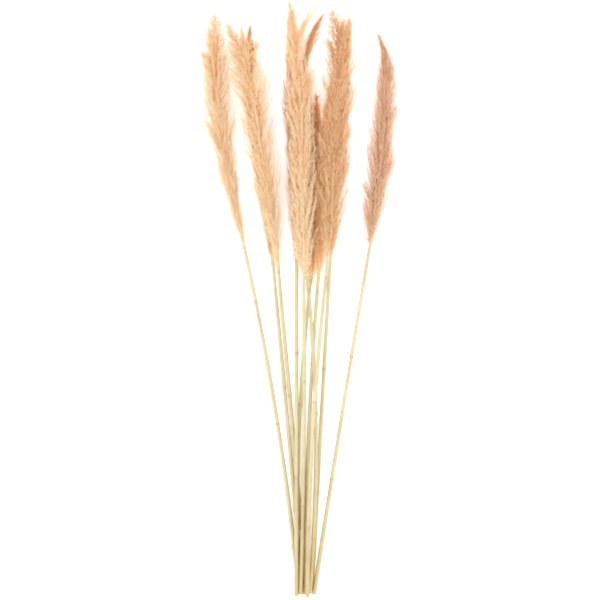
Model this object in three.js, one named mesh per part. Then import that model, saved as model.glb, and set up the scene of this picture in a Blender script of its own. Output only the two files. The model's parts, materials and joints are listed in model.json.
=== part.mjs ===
import * as THREE from 'three';

// A bundle of eleven dried pampas grass stems, lying on a table.
// Millimetres, +Z up. The cut ends point to -Y, the plumes to +Y, and the table is at Z = 0.

// Stalks
const stalkLength = 410;        // usual length from the cut end to the plume
const stalkFootDiameter = 5;    // at the cut end
const stalkNeckDiameter = 4;  // just below the plume
const riseExponent = 3;         // how late a stalk starts to climb towards its plume

// Plumes
const plumeLength = 305;        // usual length from the neck to the tip
const plumeBaseDiameter = 5.6;  // where the lowest hairs leave the stem
const climbShare = 0.45;        // share of a plume over which it climbs to its layer
const curlShare = 0.22;         // share of a plume that hangs over at its tip

// Fits
const clearance = 0.3;                               // gap between pieces that touch
const footPitch = stalkFootDiameter + 2 * clearance; // stalk to stalk where they are bunched

const strawColour = 0xe6d3a8;

// Facets
const stalkSides = 8;
const stalkSteps = 12;
const plumeSides = 12;
const plumeSteps = 18;

// The plumes lie in three layers, the first on the table and each next one on top of it.
// middleOfFirst is where the middle of a layer's leftmost plume lies.
const layers = [
  { thickness: 18, middleOfFirst: -105 },
  { thickness: 14, middleOfFirst: -53 },
  { thickness: 14, middleOfFirst: -4 },
];

// The stems, layer by layer and from left to right in each layer.
//   column, row       place of the foot in the bunched ends, counted in foot pitches
//   setback           how far the cut end lies behind the foremost one
//   stalkExtra        what the stalk has over the usual length
//   bow               how far the middle of the stalk bows to the right
//   room              free space between the plume and the one to its left
//   width, belly      width of the plume at its widest, and how far along it that is
//   plumeExtra        what the plume has over the usual length
//   lean, nod, curl   sideways run from the neck to the middle, from there to the tip, and of
//                     the tip itself, which hangs over
//   lift              share of its layer's height that the neck has reached
//   shoulder, crown   how gently the plume fills out to its belly, and closes to its tip: a
//                     smaller number is blunter
const stems = [
  { layer: 0, column: -1.5, row: 0, setback: 1, stalkExtra: 28, bow: 7, room: 0,
    width: 32, belly: 0.8, plumeExtra: -3, lean: -28, nod: -8, curl: 0, lift: 0.6,
    shoulder: 1, crown: 0.4, colour: 0xf4d4af },
  { layer: 0, column: -0.5, row: 0, setback: 3, stalkExtra: 6, bow: 0, room: 17,
    width: 26, belly: 0.65, plumeExtra: 0, lean: -18, nod: -8, curl: 0, lift: 0.6,
    shoulder: 1, crown: 0.7, colour: 0xe6b78e },
  { layer: 0, column: -2, row: 2, setback: 0, stalkExtra: 0, bow: 0, room: 21,
    width: 22, belly: 0.55, plumeExtra: 23, lean: -3, nod: -6, curl: 0, lift: 0.6,
    shoulder: 0.7, crown: 0.6, colour: 0xe2b291 },
  { layer: 0, column: -1.5, row: 1, setback: 2, stalkExtra: -20, bow: -7, room: 4,
    width: 22, belly: 0.5, plumeExtra: -59, lean: 6, nod: 3, curl: 0, lift: 0.6,
    shoulder: 0.8, crown: 0.7, colour: 0xd9a57c },
  { layer: 0, column: 1.5, row: 0, setback: 4, stalkExtra: 16, bow: 0, room: 8,
    width: 24, belly: 0.55, plumeExtra: 0, lean: 11, nod: 10, curl: 4, lift: 0.6,
    shoulder: 0.8, crown: 0.8, colour: 0xe0b08a },
  { layer: 0, column: 2, row: 1, setback: 1, stalkExtra: 30, bow: -1, room: 28,
    width: 30, belly: 0.45, plumeExtra: -33, lean: 16, nod: 10, curl: -16, lift: 0.6,
    shoulder: 0.6, crown: 0.9, colour: 0xe3bb9d },
  { layer: 1, column: 0.5, row: 0, setback: 2, stalkExtra: 0, bow: 0, room: 0,
    width: 42, belly: 0.75, plumeExtra: 8, lean: -19, nod: -27, curl: -16, lift: 0.55,
    shoulder: 1.1, crown: 0.45, colour: 0xf0c8a0 },
  { layer: 1, column: 1, row: 2, setback: 3, stalkExtra: -7, bow: 10, room: 15,
    width: 24, belly: 0.45, plumeExtra: 25, lean: -7, nod: 4, curl: 25, lift: 0.75,
    shoulder: 0.7, crown: 1, colour: 0xe0b08a },
  { layer: 1, column: 0, row: 1, setback: 1, stalkExtra: -10, bow: -4, room: 6,
    width: 23, belly: 0.5, plumeExtra: -55, lean: 8, nod: 8, curl: 0, lift: 0.55,
    shoulder: 0.8, crown: 0.7, colour: 0xd9a57c },
  { layer: 2, column: -1, row: 2, setback: 2, stalkExtra: -13, bow: 2, room: 0,
    width: 34, belly: 0.5, plumeExtra: 46, lean: -2, nod: -17, curl: 0, lift: 0.75,
    shoulder: 0.4, crown: 0.5, colour: 0xf0cdaa },
  { layer: 2, column: 0.5, row: 3, setback: 0, stalkExtra: 8, bow: -6, room: 3.5,
    width: 42, belly: 0.55, plumeExtra: 17, lean: 9.5, nod: 14, curl: -20, lift: 0.8,
    shoulder: 0.6, crown: 0.4, colour: 0xe3b48c },
];

// Height of the middle of a layer above the table.
function layerHeight(index) {
  let height = layers[index].thickness / 2;
  for (let below = 0; below < index; below += 1) {
    height += layers[below].thickness + 2 * clearance;
  }
  return height;
}

// Middles of the plumes: side by side in each layer, with the stated room between them.
function placePlumes() {
  layers.forEach((layer, index) => {
    let rightEdge = null;
    for (const stem of stems.filter((candidate) => candidate.layer === index)) {
      const half = stem.width / 2;
      stem.middle = rightEdge === null ? layer.middleOfFirst : rightEdge + stem.room + half;
      rightEdge = stem.middle + half;
    }
  });
}

// Cubic from 0 to 1 that starts at `from` with the given slope and ends level at `to`.
function easeInto(share, from, slope, to) {
  const drop = from - to;
  const square = share * share;
  const cube = square * share;
  return to + drop * (2 * cube - 3 * square + 1) + slope * (cube - 2 * square + share);
}

// Centre line of a stem's stalk: place, and sideways and upward slope, at a share of its length.
function stalkLine(stem, share) {
  const footX = stem.column * footPitch;
  const footZ = stalkFootDiameter / 2 + stem.row * footPitch;
  const neckX = stem.middle - stem.lean;
  const neckZ = layerHeight(stem.layer) * stem.lift;
  const length = stalkLength + stem.stalkExtra;
  return {
    x: footX + (neckX - footX) * share + 4 * stem.bow * share * (1 - share),
    z: footZ + (neckZ - footZ) * share ** riseExponent,
    slopeX: (neckX - footX + 4 * stem.bow * (1 - 2 * share)) / length,
    slopeZ: (riseExponent * (neckZ - footZ) * share ** (riseExponent - 1)) / length,
  };
}

// Centre line of a stem's plume, which goes on from the neck in the stalk's direction.
function plumeLine(stem, share) {
  const neck = stalkLine(stem, 1);
  const length = plumeLength + stem.plumeExtra;
  const runX = neck.slopeX * length;
  const atMiddle = stem.lean - runX / 2;
  const atTip = stem.lean + stem.nod - runX;
  const bend = 8 * atMiddle - atTip;
  const twist = atTip - bend;
  const climb = Math.min(share / climbShare, 1);
  const hanging = Math.max((share - 1 + curlShare) / curlShare, 0);
  return {
    x: neck.x + runX * share + bend * share ** 2 + twist * share ** 3 + stem.curl * hanging ** 2,
    z: easeInto(climb, neck.z, neck.slopeZ * length * climbShare, layerHeight(stem.layer)),
  };
}

// Fullness of a plume: 0 at its base, 1 at its belly, and back to 0 at its tip.
function fullness(stem, share) {
  if (share < stem.belly) {
    return Math.sin((Math.PI / 2) * (share / stem.belly)) ** stem.shoulder;
  }
  const beyond = (share - stem.belly) / (1 - stem.belly);
  return Math.max(Math.cos((Math.PI / 2) * beyond), 0) ** stem.crown;
}

// Turned solid along +Y: the radii run from its start to its end, and both ends are closed.
function turned(radii, start, length, sides) {
  const steps = radii.length - 1;
  const profile = radii.map((radius, step) => {
    return new THREE.Vector2(radius, start + (length * step) / steps);
  });
  if (radii[0] > 0) {
    profile.unshift(new THREE.Vector2(0, start));
  }
  if (radii[steps] > 0) {
    profile.push(new THREE.Vector2(0, start + length));
  }
  return new THREE.LatheGeometry(profile, sides);
}

// Moves each point of a turned solid sideways and up, so that its axis follows a line.
// thickness gives the solid's thickness over its width at the point's share of the length.
function followLine(geometry, start, length, line, thickness) {
  const points = geometry.attributes.position;
  for (let index = 0; index < points.count; index += 1) {
    const share = THREE.MathUtils.clamp((points.getY(index) - start) / length, 0, 1);
    const centre = line(share);
    const height = points.getZ(index) * thickness(share);
    points.setX(index, centre.x + points.getX(index));
    points.setZ(index, centre.z + height);
  }
  geometry.computeVertexNormals();
  return geometry;
}

function stalkSolid(stem) {
  const length = stalkLength + stem.stalkExtra;
  const radii = [];
  for (let step = 0; step <= stalkSteps; step += 1) {
    radii.push(THREE.MathUtils.lerp(stalkFootDiameter, stalkNeckDiameter, step / stalkSteps) / 2);
  }
  const straight = turned(radii, 0, length, stalkSides);
  return followLine(straight, 0, length, (share) => stalkLine(stem, share), () => 1);
}

function plumeSolid(stem) {
  const start = stalkLength + stem.stalkExtra + clearance;
  const length = plumeLength + stem.plumeExtra - clearance;
  const baseRadius = plumeBaseDiameter / 2;
  const base = (share) => baseRadius * (share < stem.belly ? 1 : fullness(stem, share));
  const halfWidth = (share) => base(share) + (stem.width / 2 - baseRadius) * fullness(stem, share);
  const halfThickness = (share) => {
    return base(share) + (layers[stem.layer].thickness / 2 - baseRadius) * fullness(stem, share);
  };
  const thickness = (share) => (share < 1 ? halfThickness(share) / halfWidth(share) : 1);
  const radii = [];
  for (let step = 0; step < plumeSteps; step += 1) {
    radii.push(halfWidth(step / plumeSteps));
  }
  radii.push(0);
  const straight = turned(radii, start, length, plumeSides);
  return followLine(straight, start, length, (share) => plumeLine(stem, share), thickness);
}

function addPiece(group, name, geometry, colour, roughness) {
  const material = new THREE.MeshStandardMaterial({ color: colour, roughness, metalness: 0 });
  const mesh = new THREE.Mesh(geometry, material);
  mesh.name = name;
  group.add(mesh);
}

const bundle = new THREE.Group();
placePlumes();
stems.forEach((stem, index) => {
  const number = String(index + 1).padStart(2, '0');
  const grown = new THREE.Group();
  grown.position.y = stem.setback;
  addPiece(grown, `stalk_${number}`, stalkSolid(stem), strawColour, 0.6);
  addPiece(grown, `plume_${number}`, plumeSolid(stem), stem.colour, 0.95);
  bundle.add(grown);
});

// The origin is the middle of the bundle's box, on the table.
const box = new THREE.Box3().setFromObject(bundle);
bundle.position.set(-(box.min.x + box.max.x) / 2, -(box.min.y + box.max.y) / 2, -box.min.z);

export default bundle;
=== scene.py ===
# %% [markdown]
# # A bundle of dried pampas grass
# Eleven cut stems lie on a table with their feet bunched together. Each stem is a straw-coloured
# stalk that ends in a plume, and each plume is thousands of silky hairs on fine branches.
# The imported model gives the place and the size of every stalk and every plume.

# %% Load the frame
import json
import math
import random

import bpy
import numpy as np
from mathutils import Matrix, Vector


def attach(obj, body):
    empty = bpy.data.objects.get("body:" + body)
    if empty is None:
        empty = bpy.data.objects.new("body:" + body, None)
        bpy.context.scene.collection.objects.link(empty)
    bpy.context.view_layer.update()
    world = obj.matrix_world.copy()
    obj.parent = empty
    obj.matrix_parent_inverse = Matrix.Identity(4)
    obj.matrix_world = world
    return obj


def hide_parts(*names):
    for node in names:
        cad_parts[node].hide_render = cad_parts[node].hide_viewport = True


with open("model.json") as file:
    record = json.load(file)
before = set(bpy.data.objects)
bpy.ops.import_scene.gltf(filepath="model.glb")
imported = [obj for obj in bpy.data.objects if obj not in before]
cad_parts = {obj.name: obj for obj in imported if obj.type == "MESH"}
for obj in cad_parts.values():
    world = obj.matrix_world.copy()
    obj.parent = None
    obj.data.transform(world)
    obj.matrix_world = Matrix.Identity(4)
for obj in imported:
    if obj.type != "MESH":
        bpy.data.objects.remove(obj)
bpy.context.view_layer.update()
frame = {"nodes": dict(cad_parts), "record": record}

stem_numbers = [name[-2:] for name in sorted(frame["nodes"]) if name.startswith("stalk_")]

# %% [markdown]
# ## Writing node trees as sums
# A node tree is quicker to read as a formula than as a list of links. `Field` wraps one socket,
# and its operators add the maths nodes. `add` makes any other node, and fills its inputs by name.


# %% A socket that can be added and multiplied
class Field:
    def __init__(self, tree, socket):
        self.tree = tree
        self.socket = socket

    def maths(self, operation, *others):
        vector = any(isinstance(o, Field) and o.socket.type == "VECTOR" for o in (self, *others))
        scaled = vector and operation == "MULTIPLY" and len(others) == 1 and not is_vector(others[0])
        kind = "ShaderNodeVectorMath" if vector else "ShaderNodeMath"
        node = self.tree.nodes.new(kind)
        node.operation = "SCALE" if scaled else operation
        slots = [node.inputs[0], node.inputs["Scale"]] if scaled else node.inputs
        for slot, value in zip(slots, (self, *others)):
            fill(self.tree, slot, value)
        out = "Value" if operation in ("LENGTH", "DOT_PRODUCT") else 0
        return Field(self.tree, node.outputs[out])

    def __add__(self, other):
        return self.maths("ADD", other)

    def __sub__(self, other):
        return self.maths("SUBTRACT", other)

    def __mul__(self, other):
        return self.maths("MULTIPLY", other)

    def __truediv__(self, other):
        return self.maths("DIVIDE", other)

    def __pow__(self, other):
        return self.maths("POWER", other)

    def __rsub__(self, other):
        return (self * -1.0) + other


def is_vector(value):
    if isinstance(value, Field):
        return value.socket.type == "VECTOR"
    return isinstance(value, (tuple, list, Vector))


def fill(tree, slot, value):
    if isinstance(value, Field):
        tree.links.new(value.socket, slot)
    else:
        slot.default_value = value


def add(tree, kind, output=0, settings=None, **inputs):
    """Adds a node, fills its inputs and returns one of its outputs, or all with output=None."""
    node = tree.nodes.new(kind)
    for name, value in (settings or {}).items():
        setattr(node, name, value)
    open_slots = {s.name.replace(" ", "_"): s for s in reversed(node.inputs) if s.enabled}
    for name, value in inputs.items():
        fill(tree, open_slots[name], value)
    if output is None:
        return {s.name: Field(tree, s) for s in reversed(node.outputs) if s.enabled}
    found = node.outputs[output]
    if not found.enabled:
        found = next(s for s in node.outputs if s.enabled and s.name == found.name)
    return Field(tree, found)


def new_tree(name, sockets):
    """Starts a geometry tree with its named inputs. Returns the tree and its inputs as fields."""
    tree = bpy.data.node_groups.new(name, "GeometryNodeTree")
    tree.interface.new_socket(name="Geometry", in_out="INPUT", socket_type="NodeSocketGeometry")
    tree.interface.new_socket(name="Geometry", in_out="OUTPUT", socket_type="NodeSocketGeometry")
    for label, kind in sockets.items():
        tree.interface.new_socket(name=label, in_out="INPUT", socket_type="NodeSocket" + kind)
    inlet = tree.nodes.new("NodeGroupInput")
    return tree, {s.name: Field(tree, s) for s in inlet.outputs if s.name}


def finish_tree(tree, geometry, material):
    """Ends a tree in Realize Instances and Set Material."""
    solid = add(tree, "GeometryNodeRealizeInstances", Geometry=geometry)
    dressed = add(tree, "GeometryNodeSetMaterial", Geometry=solid, Material=material)
    outlet = tree.nodes.new("NodeGroupOutput")
    tree.links.new(dressed.socket, outlet.inputs[0])


def store(tree, geometry, name, value, data_type="FLOAT", domain="POINT"):
    settings = {"data_type": data_type, "domain": domain}
    return add(tree, "GeometryNodeStoreNamedAttribute", settings=settings,
               Geometry=geometry, Name=name, Value=value)


def named(tree, name, data_type="FLOAT"):
    return add(tree, "GeometryNodeInputNamedAttribute", settings={"data_type": data_type}, Name=name)


def chance(tree, low, high, seed, data_type="FLOAT"):
    return add(tree, "FunctionNodeRandomValue", settings={"data_type": data_type},
               Min=low, Max=high, Seed=seed)


# %% Running a tree on a guide
def grow(tree, guide, name, values):
    """Runs a tree on the guide and returns the result as a plain mesh object."""
    modifier = guide.modifiers.new("grow", "NODES")
    modifier.node_group = tree
    sockets = {i.name: i.identifier for i in tree.interface.items_tree if i.in_out == "INPUT"}
    for label, value in values.items():
        modifier[sockets[label]] = value
    depsgraph = bpy.context.evaluated_depsgraph_get()
    mesh = bpy.data.meshes.new_from_object(guide.evaluated_get(depsgraph))
    mesh.name = name
    guide.modifiers.remove(modifier)
    piece = bpy.data.objects.new(name, mesh)
    bpy.context.scene.collection.objects.link(piece)
    return piece


# %% [markdown]
# ## The guides
# Every stalk and plume of the frame is a stack of rings across the Y axis. The middle of each ring
# is a point of the centre line, and half its width and height say how full the plume may be there.


# %% Read the rings of a frame node
def rings(node):
    """Centres, half widths and half heights of the rings of a frame node, from foot to tip."""
    points = np.array([tuple(v.co) for v in frame["nodes"][node].data.vertices])
    levels = np.unique(np.round(points[:, 1], 4))
    centres, widths, heights = [], [], []
    for level in levels:
        ring = points[np.abs(points[:, 1] - level) < 1e-4]
        low, high = ring.min(0), ring.max(0)
        centres.append((low + high) / 2)
        widths.append((high[0] - low[0]) / 2)
        heights.append((high[2] - low[2]) / 2)
    return np.array(centres), np.array(widths), np.array(heights)


def guide_object(name, lines):
    """Lines of vertices and edges. Each line is its points and the numbers stored at them."""
    mesh = bpy.data.meshes.new(name)
    points, edges, numbers = [], [], {}
    for line, stored in lines:
        first = len(points)
        edges.extend((first + i, first + i + 1) for i in range(len(line) - 1))
        points.extend(tuple(p) for p in line)
        for label, values in stored.items():
            numbers.setdefault(label, []).extend(np.ravel(values))
    mesh.from_pydata(points, edges, [])
    for label, values in numbers.items():
        flat = len(values) == len(points)
        layer = mesh.attributes.new(label, "FLOAT" if flat else "FLOAT_VECTOR", "POINT")
        layer.data.foreach_set("value" if flat else "vector", np.array(values, np.float32))
    guide = bpy.data.objects.new(name, mesh)
    bpy.context.scene.collection.objects.link(guide)
    return guide


sample_widths = rings("plume_01")[1]
print("rings of plume_01:", len(sample_widths), "widest half:", round(sample_widths.max() * 1000, 1), "mm")

# %% [markdown]
# ## A spikelet
# The silk of pampas grass is the long hair of its spikelets. One spikelet here is a spray of six
# straight hairs from one point. It is repeated thousands of times, so each hair is the simplest
# closed solid there is: three long faces that meet in a point, and a small one at the root.
# The map `strand` carries the place along the hair, from 0 at the root to 1 at the point.

# %% Make one spikelet
hair_length = 0.0088
hair_width = 0.00034
hairs_in_spikelet = 6


def spikelet_mesh():
    vertices, faces, strand = [], [], []
    for hair in range(hairs_in_spikelet):
        turn = hair * 2.4
        tilt = 0.0 if hair == 0 else 0.22 + 0.07 * (hair % 3)
        length = hair_length * (1.0 - 0.09 * (hair % 4))
        axis = Vector((math.sin(tilt) * math.cos(turn), math.sin(tilt) * math.sin(turn), math.cos(tilt)))
        side = axis.orthogonal().normalized()
        up = axis.cross(side)
        first = len(vertices)
        for corner in range(3):
            angle = corner * math.tau / 3
            vertices.append((side * math.cos(angle) + up * math.sin(angle)) * hair_width / 2)
        vertices.append(axis * length)
        for a, b, c in ((0, 1, 3), (1, 2, 3), (2, 0, 3), (2, 1, 0)):
            faces.append((first + a, first + b, first + c))
            flat = {0: (-0.5, 0.0), 1: (0.5, 0.004), 2: (0.2, 0.02), 3: (0.0, 1.0)}
            strand.extend(flat[k] for k in (a, b, c))
    mesh = bpy.data.meshes.new("spikelet")
    mesh.from_pydata([tuple(v) for v in vertices], [], faces)
    layer = mesh.uv_layers.new(name="strand")
    for loop, place in enumerate(strand):
        layer.data[loop].uv = place
    return mesh


spikelet = bpy.data.objects.new("spikelet", spikelet_mesh())
bpy.context.scene.collection.objects.link(spikelet)
print("faces in a spikelet:", len(spikelet.data.polygons))

# %% [markdown]
# ## The plume tree
# A pampas panicle has a central axis, and long thin branches that leave it and sweep up along it.
# Each branch is a run of spikelets, so it looks like a small fox tail, and the tails side by side
# give the plume its soft upward streaks. The tree grows the branches from the centre line,
# bends them out to the plume's own width, and then strews spikelets along them.

# %% Branches
plume_inputs = {
    "Branches": "Int", "Reach": "Float", "Branch Length": "Float", "Spacing": "Float",
    "Flare": "Float", "Billow": "Float", "Spread": "Float", "Hair Scale": "Float",
    "Spikelet": "Object", "Axis Radius": "Float", "Seed": "Int", "Material": "Material",
}


golden_angle = 2.39996


def along_axis(tree, line, share, value):
    """A number stored on the centre line, its place and its direction at a share of its length."""
    settings = {"mode": "FACTOR", "data_type": "FLOAT"}
    return add(tree, "GeometryNodeSampleCurve", None, settings,
               Curves=line, Value=named(tree, value), Factor=share)


def branch_starts(tree, i):
    """One point for each branch, with its start, turn, reach and length as numbers."""
    points = add(tree, "GeometryNodePoints", Count=i["Branches"])
    index = add(tree, "GeometryNodeInputIndex")
    place = (index + chance(tree, 0.0, 1.0, i["Seed"])) / i["Branches"]
    points = store(tree, points, "start", (place ** 0.80) * 0.98)
    wobble = chance(tree, -0.5, 0.5, i["Seed"] + 1.0)
    points = store(tree, points, "turn", index * golden_angle + wobble)
    reach = chance(tree, 0.12, 1.0, i["Seed"] + 2.0) ** 0.45
    points = store(tree, points, "reach", reach * i["Reach"])
    points = store(tree, points, "span", chance(tree, 0.7, 1.25, i["Seed"] + 3.0))
    points = store(tree, points, "flare", chance(tree, 0.0, 1.0, i["Seed"] + 9.0) ** 2.0)
    return store(tree, points, "lock", chance(tree, 0.0, 1.0, i["Seed"] + 4.0))


def branches(tree, line, i):
    """Thin curves that leave the axis and sweep up along the outside of the plume."""
    unit = add(tree, "GeometryNodeCurvePrimitiveLine", End=(0.0, 0.0, 1.0))
    unit = add(tree, "GeometryNodeResampleCurve", Curve=unit, Count=8)
    curves = add(tree, "GeometryNodeInstanceOnPoints", Points=branch_starts(tree, i), Instance=unit)
    curves = add(tree, "GeometryNodeRealizeInstances", Geometry=curves)
    step = add(tree, "GeometryNodeSplineParameter")
    whole = add(tree, "GeometryNodeCurveLength", Curve=line)
    start = named(tree, "start")
    last = 1.0 - (named(tree, "reach") ** 2.0) * 0.13
    room = (last - start).maths("MAXIMUM", 0.02)
    span = named(tree, "span") * (1.2 - start * 0.75) * i["Branch Length"] / whole
    share = start + span.maths("MINIMUM", room) * step
    wide = along_axis(tree, line, share, "half_width")
    high = along_axis(tree, line, share, "half_height")
    up = (0.0, 0.0, 1.0)
    side = wide["Tangent"].maths("CROSS_PRODUCT", up).maths("NORMALIZE")
    rise = side.maths("CROSS_PRODUCT", wide["Tangent"])
    away = (1.0 - (1.0 - step) ** 2.2) + (step ** 4.0) * named(tree, "flare") * i["Flare"]
    turn = named(tree, "turn")
    out = side * (turn.maths("COSINE") * wide["Value"]) + rise * (turn.maths("SINE") * high["Value"])
    out = out * (away * named(tree, "reach"))
    bulge = add(tree, "ShaderNodeTexNoise", 0, Vector=wide["Position"] + out, Scale=26.0, Detail=1.0)
    out = out * ((bulge - 0.5) * i["Billow"] + 1.0)
    wander = add(tree, "ShaderNodeTexNoise", 1, {"normalize": False},
                 Vector=wide["Position"] + out, Scale=45.0, Detail=1.0)
    out = out + (wander * step) * 0.0022
    curves = store(tree, curves, "out", out, "FLOAT_VECTOR")
    curves = store(tree, curves, "step", step)
    curves = store(tree, curves, "share", share)
    out = named(tree, "out", "FLOAT_VECTOR")
    return add(tree, "GeometryNodeSetPosition", Geometry=curves, Position=wide["Position"] + out)


# %% Spikelets on the branches
def strew_spikelets(tree, curves, i):
    """Spikelets along every branch, leaning off it. The lowest of a plume have the longest hairs."""
    mode = {"mode": "LENGTH"}
    found = add(tree, "GeometryNodeCurveToPoints", None, mode, Curve=curves, Length=i["Spacing"])
    outward = named(tree, "out", "FLOAT_VECTOR").maths("NORMALIZE")
    stray = chance(tree, (-1.0, -1.0, -1.0), (1.0, 1.0, 1.0), i["Seed"] + 5.0, "FLOAT_VECTOR")
    lean = found["Tangent"] + outward * 0.16 + stray * i["Spread"]
    settings = {"axis": "Z"}
    rotation = add(tree, "FunctionNodeAlignRotationToVector", settings=settings, Vector=lean)
    roll = add(tree, "FunctionNodeAxisAngleToRotation", Angle=chance(tree, 0.0, 6.283, i["Seed"] + 6.0))
    rotation = add(tree, "FunctionNodeRotateRotation", settings={"rotation_space": "LOCAL"},
                   Rotation=rotation, Rotate_By=roll)
    at_base = (named(tree, "share") * -9.0).maths("EXPONENT")
    size = chance(tree, 0.72, 1.18, i["Seed"] + 7.0) * (1.0 - named(tree, "step") * 0.40)
    size = size * (at_base * 0.45 + 1.0)
    points = store(tree, found["Points"], "tint", spikelet_tint(tree, i))
    spray = add(tree, "GeometryNodeObjectInfo", "Geometry", Object=i["Spikelet"])
    return add(tree, "GeometryNodeInstanceOnPoints", Points=points, Instance=spray,
               Rotation=rotation, Scale=size * i["Hair Scale"])


def spikelet_tint(tree, i):
    """0 is the deepest colour and 1 the palest. The dye is deeper at the tip and paler at the foot, and
    painted shade makes the inside deeper.
    """
    lock = (named(tree, "lock") - 0.5) * 0.22
    grain = chance(tree, -0.12, 0.12, i["Seed"] + 8.0)
    # Painted shade: spikelets near the axis, and on branches that stay inside the plume, get a deeper
    # colour.
    painted_inner_shade = named(tree, "step") * named(tree, "reach") * 0.24
    undyed = (named(tree, "share") * -7.0).maths("EXPONENT") * 0.28 - named(tree, "share") * 0.20
    patches = add(tree, "ShaderNodeTexNoise", 0, Scale=30.0, Detail=2.0,
                  Vector=add(tree, "GeometryNodeInputPosition"))
    tint = lock + grain + painted_inner_shade + undyed + (patches - 0.5) * 0.60 + 0.49
    return tint.maths("MAXIMUM", 0.03).maths("MINIMUM", 0.97)


def map_spikelets(tree, spikelets):
    """Writes the strand map: across is the tint, the dye with painted inner shade, and up is the place
    along the hair.
    """
    hairs = add(tree, "GeometryNodeRealizeInstances", Geometry=spikelets)
    apart = add(tree, "ShaderNodeSeparateXYZ", None, Vector=named(tree, "strand", "FLOAT_VECTOR"))
    across = named(tree, "tint") + apart["X"] * 0.02
    place = add(tree, "ShaderNodeCombineXYZ", X=across, Y=apart["Y"])
    return store(tree, hairs, "strand", place, "FLOAT2", "CORNER")


# %% Tubes for the axis and the branches
def tube(tree, curves, radius, sides, tint):
    """A closed tapering tube along curves: both ends run to a point, so no cap is needed."""
    step = add(tree, "GeometryNodeSplineParameter")
    ends = (step * 40.0).maths("MINIMUM", 1.0) * ((1.0 - step) * 12.0).maths("MINIMUM", 1.0)
    curves = store(tree, curves, "rise", step)
    curves = add(tree, "GeometryNodeSetCurveRadius", Curve=curves, Radius=ends * radius)
    ring = add(tree, "GeometryNodeCurvePrimitiveCircle", Resolution=sides, Radius=1.0)
    around = add(tree, "GeometryNodeSplineParameter")
    ring = store(tree, ring, "around", around)
    skin = add(tree, "GeometryNodeCurveToMesh", Curve=curves, Profile_Curve=ring,
               Scale=named(tree, "radius"))
    skin = add(tree, "GeometryNodeMergeByDistance", Geometry=skin, Distance=0.000002)
    place = add(tree, "ShaderNodeCombineXYZ", X=named(tree, "around") * 0.02 + tint,
                Y=named(tree, "rise") * 0.4 + named(tree, "around") * 0.01)
    return store(tree, skin, "strand", place, "FLOAT2", "CORNER")


# %% The whole tree
press_height = 0.003


def press_on_table(tree, geometry):
    """Hairs that would pass through the table are pressed flat just above it."""
    place = add(tree, "ShaderNodeSeparateXYZ", None, Vector=add(tree, "GeometryNodeInputPosition"))
    low = place["Z"].maths("MINIMUM", press_height)
    pressed = ((low - press_height) / press_height).maths("EXPONENT") * press_height
    height = place["Z"].maths("MAXIMUM", press_height) - press_height + pressed
    position = add(tree, "ShaderNodeCombineXYZ", X=place["X"], Y=place["Y"], Z=height)
    return add(tree, "GeometryNodeSetPosition", Geometry=geometry, Position=position)


def join(tree, *parts):
    node = tree.nodes.new("GeometryNodeJoinGeometry")
    for part in parts:
        tree.links.new(part.socket, node.inputs[0])
    return Field(tree, node.outputs[0])


def plume_tree():
    tree, i = new_tree("Plume", plume_inputs)
    lines = add(tree, "GeometryNodeMeshToCurve", Mesh=i["Geometry"])
    parted = add(tree, "GeometryNodeSeparateGeometry", None, {"domain": "CURVE"},
                 Geometry=lines, Selection=named(tree, "loose").maths("GREATER_THAN", 0.5))
    line = add(tree, "GeometryNodeResampleCurve", Curve=parted["Inverted"], Count=48)
    loose = store(tree, parted["Selection"], "step", add(tree, "GeometryNodeSplineParameter"))
    curves = join(tree, branches(tree, line, i), loose)
    hairs = map_spikelets(tree, strew_spikelets(tree, curves, i))
    step = add(tree, "GeometryNodeSplineParameter")
    core = tube(tree, line, (1.15 - step) * i["Axis Radius"], 8, 0.62)
    twigs = tube(tree, curves, (1.1 - step) * 0.00028, 3, 0.5)
    pressed = press_on_table(tree, join(tree, hairs, core, twigs))
    finish_tree(tree, pressed, i["Material"])
    return tree


plume_grower = plume_tree()
print("nodes in the plume tree:", len(plume_grower.nodes))

# %% [markdown]
# ## The silk's finish
# Dyed silk is not one colour: the dye differs between branches and in patches, and it is deeper
# near the plume's tip and paler at its foot. Painted shade makes the colour deeper near the axis and
# at the roots of the hairs, in the gaps, and painted light pales it to cream at the tips of the hairs.
# The group reads the strand map, so the colour depends only on the tint and on the place along the hair.


# %% A shader group for the silk's dye and painted shade
def silk_group():
    tree = bpy.data.node_groups.new("dyed silk", "ShaderNodeTree")
    for label in ("Deep", "Middle", "Pale"):
        tree.interface.new_socket(name=label, in_out="INPUT", socket_type="NodeSocketColor")
    tree.interface.new_socket(name="Colour", in_out="OUTPUT", socket_type="NodeSocketColor")
    tree.interface.new_socket(name="Roughness", in_out="OUTPUT", socket_type="NodeSocketFloat")
    inlet = tree.nodes.new("NodeGroupInput")
    deep, middle, pale = (Field(tree, inlet.outputs[k]) for k in ("Deep", "Middle", "Pale"))
    strand = add(tree, "ShaderNodeUVMap", settings={"uv_map": "strand"})
    apart = add(tree, "ShaderNodeSeparateXYZ", None, Vector=strand)
    tint, along = apart["X"], apart["Y"]
    # Painted shade and light: the roots of the hairs get a deeper colour and the tips a paler one, for
    # shade inside the plume and light coming through the tips.
    dye_and_painted_shade = tint * 0.90 + along * 0.22 - 0.05
    low = blend_colour(tree, dye_and_painted_shade * 2.0, deep, middle)
    colour = blend_colour(tree, dye_and_painted_shade * 2.0 - 1.0, low, pale)
    outlet = tree.nodes.new("NodeGroupOutput")
    tree.links.new(colour.socket, outlet.inputs["Colour"])
    roughness = 0.72 - along * 0.16 + tint * 0.06
    tree.links.new(roughness.socket, outlet.inputs["Roughness"])
    return tree


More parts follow.
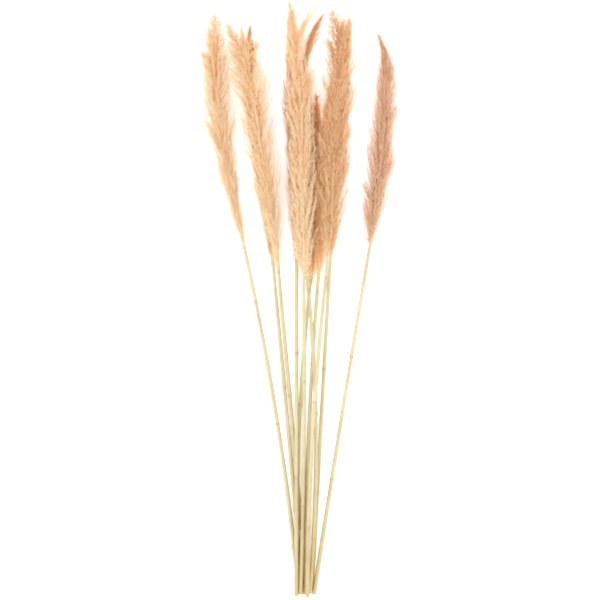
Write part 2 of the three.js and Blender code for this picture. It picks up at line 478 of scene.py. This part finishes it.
def blend_colour(tree, factor, first, second):
    node = tree.nodes.new("ShaderNodeMix")
    node.data_type = "RGBA"
    node.clamp_factor = True
    open_slots = [s for s in node.inputs if s.enabled]
    for slot, value in zip(open_slots, (factor, first, second)):
        fill(tree, slot, value)
    return Field(tree, next(s for s in node.outputs if s.enabled))


silk_effect = silk_group()

# %% One finish for each shade of dye


def linear(red, green, blue):
    """An everyday 0 to 255 colour as the linear numbers that a shader takes."""
    values = [v / 255 for v in (red, green, blue)]
    return tuple(v / 12.92 if v <= 0.04045 else ((v + 0.055) / 1.055) ** 2.4 for v in values) + (1.0,)


# Deep, middle and pale colours of each dye. The deep end is also the colour of the painted shade at the
# roots of the hairs and near the axis.
dye_and_shade_colours = {
    "plume_cream": ((246, 190, 130), (250, 221, 180), (253, 234, 206)),
    "plume_peach": ((247, 186, 124), (252, 225, 184), (254, 237, 210)),
    "plume_apricot": ((230, 156, 95), (237, 198, 151), (250, 223, 186)),
    "plume_rose": ((226, 156, 114), (238, 200, 165), (250, 223, 194)),
    "plume_amber": ((255, 165, 92), (255, 208, 144), (254, 228, 184)),
}


def silk_material(name, colours):
    material = bpy.data.materials.new(name + "_silk")
    material.use_nodes = True
    tree = material.node_tree
    shader = tree.nodes["Principled BSDF"]
    group = tree.nodes.new("ShaderNodeGroup")
    group.node_tree = silk_effect
    for label, colour in zip(("Deep", "Middle", "Pale"), colours):
        group.inputs[label].default_value = linear(*colour)
    tree.links.new(group.outputs["Colour"], shader.inputs["Base Color"])
    tree.links.new(group.outputs["Roughness"], shader.inputs["Roughness"])
    shader.inputs["Specular IOR Level"].default_value = 0.25
    shader.inputs["Sheen Weight"].default_value = 0.25
    shader.inputs["Sheen Roughness"].default_value = 0.4
    return material


silks = {name: silk_material(name, colours) for name, colours in dye_and_shade_colours.items()}
print("silk finishes:", sorted(silks))

# %% [markdown]
# ## Growing the plumes
# The eleven plumes use the same tree. They differ in their centre line, in how many branches they
# have, in how far those reach and in their seed. The plumes that lie underneath need fewer hairs.
# A real plume is never even: bunches of its branches hang out of it and give it a ragged outline,
# so each plume also gets a few loose tufts, and the heads of three hang over a little further.

# %% Loose tufts
# Each tuft: the share of the plume where it leaves the axis, and how far to the right and how far
# forward its end lies from there, in millimetres.
tufts = {
    "01": ((0.35, -31, 62), (0.20, -15, 40), (0.70, -17, 40), (0.58, -16, 38)),
    "02": ((0.80, 9, 42),),
    "03": ((0.22, -12, 44), (0.48, -13, 47)),
    "04": ((0.80, -6, 34), (0.82, 5, 30)),
    "05": ((0.82, 7, 46),),
    "06": ((0.24, 19, 42), (0.52, 15, 38), (0.04, -8, 46), (0.16, -13, 40)),
    "07": ((0.23, -21, 38), (0.68, -30, 40), (0.76, -24, 40), (0.83, -21, 42), (0.80, -8, 60)),
    "08": ((0.82, 18, 44), (0.90, 15, 26)),
    "09": ((0.82, 4, 34),),
    "10": ((0.03, -9, 46), (0.82, 26, 62), (0.62, 17, 44), (0.84, -5, 44)),
    "11": ((0.40, 20, 44), (0.86, 6, 34), (0.86, 16, 34), (0.73, -10, 42), (0.80, -2, 36)),
}
branches_in_tuft = 12


def tuft_lines(number, centres):
    """The branches of a plume's loose tufts: each bends away from the axis to its own end."""
    chances = random.Random(int(number))
    lines = []
    for share, right, forward in tufts.get(number, ()):
        for branch in range(branches_in_tuft):
            place = (share + chances.uniform(-0.025, 0.025)) * (len(centres) - 1)
            below = int(place)
            root = centres[below] + (centres[below + 1] - centres[below]) * (place - below)
            jitter = np.array([chances.uniform(-2, 2), chances.uniform(-12, 2), chances.uniform(-3, 3)])
            reach = (np.array([right, forward, 0.0]) + jitter) / 1000
            steps = np.linspace(0.0, 1.0, 10)[:, None]
            line = root + reach * np.array([0, 1, 1]) * steps + reach * np.array([1, 0, 0]) * steps ** 1.6
            away = np.tile(np.array([math.copysign(1.0, right), 0.0, 0.2]), (10, 1)) * steps
            lock = np.full(10, chances.random())
            one = np.ones(10)
            lines.append((line, {
                "loose": one, "out": away, "reach": one * 0.3, "lock": lock, "share": one * share,
                "half_width": one, "half_height": one,
            }))
    return lines


# %% Bends
# How far a tip hangs to the right of its guide, and the reach of the plumes that differ from the rest.
tip_bends = {"01": -0.002, "02": -0.004, "07": -0.004}
reaches = {"01": 1.18, "02": 0.80, "08": 1.50}


def bend_line(centres, bend):
    """The centre line bent sideways from its neck on, until its tip has moved by the distance."""
    share = np.linspace(0.0, 1.0, len(centres))
    bent = centres.copy()
    bent[:, 0] += bend * (1.0 - (1.0 - share) ** 2)
    return bent


# %% Plumes
axis_radius = 0.0014
full_plume = {"Branches": 360, "Spacing": 0.00230}
hidden_plume = {"Branches": 310, "Spacing": 0.00260}
hidden_numbers = ("02", "03", "04", "05", "08", "09")
slot_of = {row["node"]: row["material_slot"] for row in frame["record"]["subparts"]}


def grow_plume(number):
    node = "plume_" + number
    centres, widths, heights = rings(node)
    centres = bend_line(centres, tip_bends.get(number, 0.0))
    nothing = np.zeros(len(centres))
    axis = {
        "loose": nothing, "out": np.zeros_like(centres), "reach": nothing, "lock": nothing,
        "share": nothing, "half_width": widths, "half_height": heights,
    }
    guide = guide_object("guide_" + number, [(centres, axis)] + tuft_lines(number, centres))
    values = {
        "Reach": reaches.get(number, 1.12), "Branch Length": 0.048, "Flare": 0.25, "Billow": 1.1,
        "Spread": 0.66, "Hair Scale": 0.92, "Spikelet": spikelet, "Axis Radius": axis_radius,
        "Seed": int(number) * 40, "Material": silks[slot_of[node]],
    }
    values.update(hidden_plume if number in hidden_numbers else full_plume)
    piece = grow(plume_grower, guide, "feathers_" + number, values)
    bpy.data.objects.remove(guide)
    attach(piece, "root")
    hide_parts(node)
    return piece


growing_numbers = (
    "start", "turn", "reach", "span", "flare", "lock", "out", "step", "share", "tint", "rise",
    "around", "radius", "half_width", "half_height", "tilt", "resolution", "loose",
)


def tidy_maps(piece):
    """Keeps the strand map, copies it for baking and drops the numbers used while growing."""
    mesh = piece.data
    for name in [a.name for a in mesh.attributes if a.name in growing_numbers]:
        mesh.attributes.remove(mesh.attributes[name])
    values = np.zeros(len(mesh.loops) * 2, np.float32)
    mesh.uv_layers["strand"].data.foreach_get("uv", values)
    mesh.uv_layers.new(name="OFBake").data.foreach_set("uv", values)
    mesh.uv_layers["strand"].active_render = True


plumes = {}
for number in stem_numbers:
    plumes[number] = grow_plume(number)
    tidy_maps(plumes[number])
faces = {n: len(p.data.polygons) for n, p in plumes.items()}
print("faces in each plume:", faces, "in all:", sum(faces.values()))

# %% [markdown]
# ## The stalks
# A stalk is a hollow culm with solid joints. Below each joint it swells a little, and above it a
# dry leaf sheath wraps it for part of the way and then ends in a thin edge. The foot is cut square
# and shows the wall, and inside it a shallow dark recess with painted shade for the hollow. A round
# section swept along the centre line gives all of this, with the radius worked out from the distance
# along the stalk. The line runs on into the plume, so that no gap shows where the hairs begin.

# %% The stalk tree
stalk_inputs = {
    "Foot Radius": "Float", "Neck Radius": "Float", "Joint Spacing": "Float", "First Joint": "Float",
    "Swelling": "Float", "Sheath": "Float", "Material": "Material",
}


def stalk_tree():
    tree, i = new_tree("Stalk", stalk_inputs)
    line = add(tree, "GeometryNodeMeshToCurve", Mesh=i["Geometry"])
    line = add(tree, "GeometryNodeResampleCurve", Curve=line, settings={"mode": "LENGTH"},
               Length=0.0015)
    spline = add(tree, "GeometryNodeSplineParameter", None)
    past = (spline["Length"] - i["First Joint"]) / i["Joint Spacing"]
    phase = past - past.maths("FLOOR")
    nearest = phase.maths("MINIMUM", 1.0 - phase) * i["Joint Spacing"]
    swell = ((nearest / 0.0022) ** 2.0 * -1.0).maths("EXPONENT") * i["Swelling"]
    wrapped = phase.maths("LESS_THAN", 0.72)
    taper = i["Foot Radius"] + (i["Neck Radius"] - i["Foot Radius"]) * spline["Factor"]
    radius = taper + swell + wrapped * i["Sheath"]
    line = store(tree, line, "phase", phase)
    line = store(tree, line, "from_joint", nearest)
    line = store(tree, line, "along", spline["Length"])
    line = add(tree, "GeometryNodeSetCurveRadius", Curve=line, Radius=1.0)
    line = store(tree, line, "thick", radius)
    ring = add(tree, "GeometryNodeCurvePrimitiveCircle", Resolution=14, Radius=1.0)
    ring = store(tree, ring, "around", add(tree, "GeometryNodeSplineParameter"))
    skin = add(tree, "GeometryNodeCurveToMesh", Curve=line, Profile_Curve=ring,
               Scale=named(tree, "thick"), Fill_Caps=True)
    normal = add(tree, "ShaderNodeSeparateXYZ", None, Vector=add(tree, "GeometryNodeInputNormal"))
    foot = normal["Y"].maths("LESS_THAN", -0.9)
    rim = add(tree, "GeometryNodeExtrudeMesh", None, {"mode": "FACES"}, Mesh=skin,
              Selection=foot, Offset_Scale=0.0)
    inner = add(tree, "GeometryNodeScaleElements", Geometry=rim["Mesh"], Selection=rim["Top"],
                Scale=0.66)
    # A shallow recess at the foot stands for the hollow of the culm, and it is marked so that it can get
    # painted shade.
    pith = add(tree, "GeometryNodeExtrudeMesh", None, {"mode": "FACES"}, Mesh=inner,
               Selection=rim["Top"], Offset_Scale=-0.0009)
    body = store(tree, pith["Mesh"], "pith", pith["Top"], "FLOAT", "FACE")
    body = store(tree, body, "wall", rim["Side"], "FLOAT", "FACE")
    finish_tree(tree, body, i["Material"])
    return tree


stalk_grower = stalk_tree()

# %% [markdown]
# ## The straw's finish
# Dry straw has fine lengthwise fibres, pale and golden by turns, a satin skin, and a darker ring
# with a dusty bloom at each joint. The fibres are noise stretched along the stalk.


# %% Straw material
def straw_material():
    material = bpy.data.materials.new("straw")
    material.use_nodes = True
    tree = material.node_tree
    shader = tree.nodes["Principled BSDF"]

    def attribute(name):
        return add(tree, "ShaderNodeAttribute", "Fac", {"attribute_name": name})

    around, along = attribute("around") * math.tau, attribute("along")
    fibre_place = add(tree, "ShaderNodeCombineXYZ", X=around.maths("COSINE") * 2.2,
                      Y=around.maths("SINE") * 2.2, Z=along * 16.0)
    offset = add(tree, "ShaderNodeTexCoord", "Object")
    fibres = add(tree, "ShaderNodeTexNoise", 0, Vector=fibre_place + offset * 8.0, Scale=3.4,
                 Detail=4.0, Roughness=0.6)
    patches = add(tree, "ShaderNodeTexNoise", 0, Vector=offset, Scale=22.0, Detail=2.0)
    tone = (fibres - 0.5) * 1.7 + (patches - 0.5) * 0.9 + 0.5
    colour = blend_colour(tree, tone, linear(182, 160, 112), linear(219, 213, 178))
    ripe = (attribute("along") / -0.12).maths("EXPONENT")
    colour = blend_colour(tree, ripe * 0.65, colour, linear(184, 152, 88))
    joint = ((attribute("from_joint") / 0.0016) ** 2.0 * -1.0).maths("EXPONENT")
    colour = blend_colour(tree, joint * 0.45, colour, linear(172, 130, 78))
    sheath = attribute("phase").maths("LESS_THAN", 0.72)
    colour = blend_colour(tree, sheath * 0.12, colour, linear(226, 220, 186))
    colour = blend_colour(tree, attribute("wall"), colour, linear(196, 156, 98))
    # Painted shade: the recess in the foot, which stands for the hollow inside the culm, is dark brown.
    colour = blend_colour(tree, attribute("pith"), colour, linear(120, 84, 50))
    tree.links.new(colour.socket, shader.inputs["Base Color"])
    roughness = fibres * 0.25 + sheath * 0.12 + 0.34
    tree.links.new(roughness.socket, shader.inputs["Roughness"])
    bump = add(tree, "ShaderNodeBump", Strength=0.35, Distance=0.0002, Height=fibres)
    tree.links.new(bump.socket, shader.inputs["Normal"])
    shader.inputs["Specular IOR Level"].default_value = 0.4
    return material


straw = straw_material()

# %% Stalks
first_joints = (0.060, 0.104, 0.150, 0.082, 0.126, 0.148, 0.094, 0.070, 0.136, 0.112, 0.088)


def grow_stalk(number, first_joint):
    node = "stalk_" + number
    centres, widths, _ = rings(node)
    inside = rings("plume_" + number)[0][1:2]
    guide = guide_object("guide_" + number, [(np.vstack([centres, inside]), {})])
    values = {
        "Foot Radius": float(widths[0]), "Neck Radius": float(widths[-1]), "Joint Spacing": 0.158,
        "First Joint": first_joint, "Swelling": 0.00032, "Sheath": 0.00016, "Material": straw,
    }
    piece = grow(stalk_grower, guide, "straw_" + number, values)
    bpy.data.objects.remove(guide)
    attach(piece, "root")
    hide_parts(node)
    for polygon in piece.data.polygons:
        polygon.use_smooth = len(polygon.vertices) == 4
    return piece


stalks = {n: grow_stalk(n, joint) for n, joint in zip(stem_numbers, first_joints)}
print("faces in each stalk:", {n: len(p.data.polygons) for n, p in stalks.items()})
bpy.data.objects.remove(spikelet)

# %% [markdown]
# ## The studio
# The bundle lies on a light table: a plain pale sheet that glows a little, so shadows on it stay
# faint. The camera looks straight down on it. A white sky gives even light from all round, and one
# large soft lamp, weak beside the sky, stands to the upper left and gives the plumes some form.

# %% Table
table_mesh = bpy.data.meshes.new("table")
table_size = 6.0
table_mesh.from_pydata(
    [(x * table_size, y * table_size, 0.0) for x, y in ((-1, -1), (1, -1), (1, 1), (-1, 1))],
    [], [(0, 1, 2, 3)])
table = bpy.data.objects.new("table", table_mesh)
bpy.context.scene.collection.objects.link(table)
table_finish = bpy.data.materials.new("table_white")
table_finish.use_nodes = True
table_shader = table_finish.node_tree.nodes["Principled BSDF"]
table_shader.inputs["Base Color"].default_value = (0.96, 0.96, 0.96, 1.0)
table_shader.inputs["Roughness"].default_value = 0.9
table_shader.inputs["Specular IOR Level"].default_value = 0.1
table_shader.inputs["Emission Color"].default_value = (1.0, 1.0, 1.0, 1.0)
table_shader.inputs["Emission Strength"].default_value = 0.30
table.data.materials.append(table_finish)

# %% Light
world = bpy.data.worlds.new("sky")
bpy.context.scene.world = world
world.use_nodes = True
world.node_tree.nodes["Background"].inputs["Color"].default_value = (1.0, 1.0, 1.0, 1.0)
world.node_tree.nodes["Background"].inputs["Strength"].default_value = 1.30


def soft_lamp(name, place, size, power):
    light = bpy.data.lights.new(name, "AREA")
    light.shape = "DISK"
    light.size = size
    light.energy = power
    lamp = bpy.data.objects.new(name, light)
    lamp.location = place
    lamp.rotation_euler = (-Vector(place)).to_track_quat("-Z", "Y").to_euler()
    bpy.context.scene.collection.objects.link(lamp)


soft_lamp("key", (-0.6, 0.4, 2.2), 1.8, 12.0)
bpy.context.scene.view_settings.view_transform = "Standard"

# %% Camera
camera_data = bpy.data.cameras.new("camera")
camera_data.lens = 90.0
camera_data.sensor_width = 36.0
camera = bpy.data.objects.new("camera", camera_data)
frame_width = 0.757
mean_height = 0.025
aim_right = 0.001
camera.location = (aim_right, 0.0, frame_width * camera_data.lens / camera_data.sensor_width + mean_height)
bpy.context.scene.collection.objects.link(camera)
bpy.context.scene.camera = camera
print("camera height:", round(camera.location.z, 3))
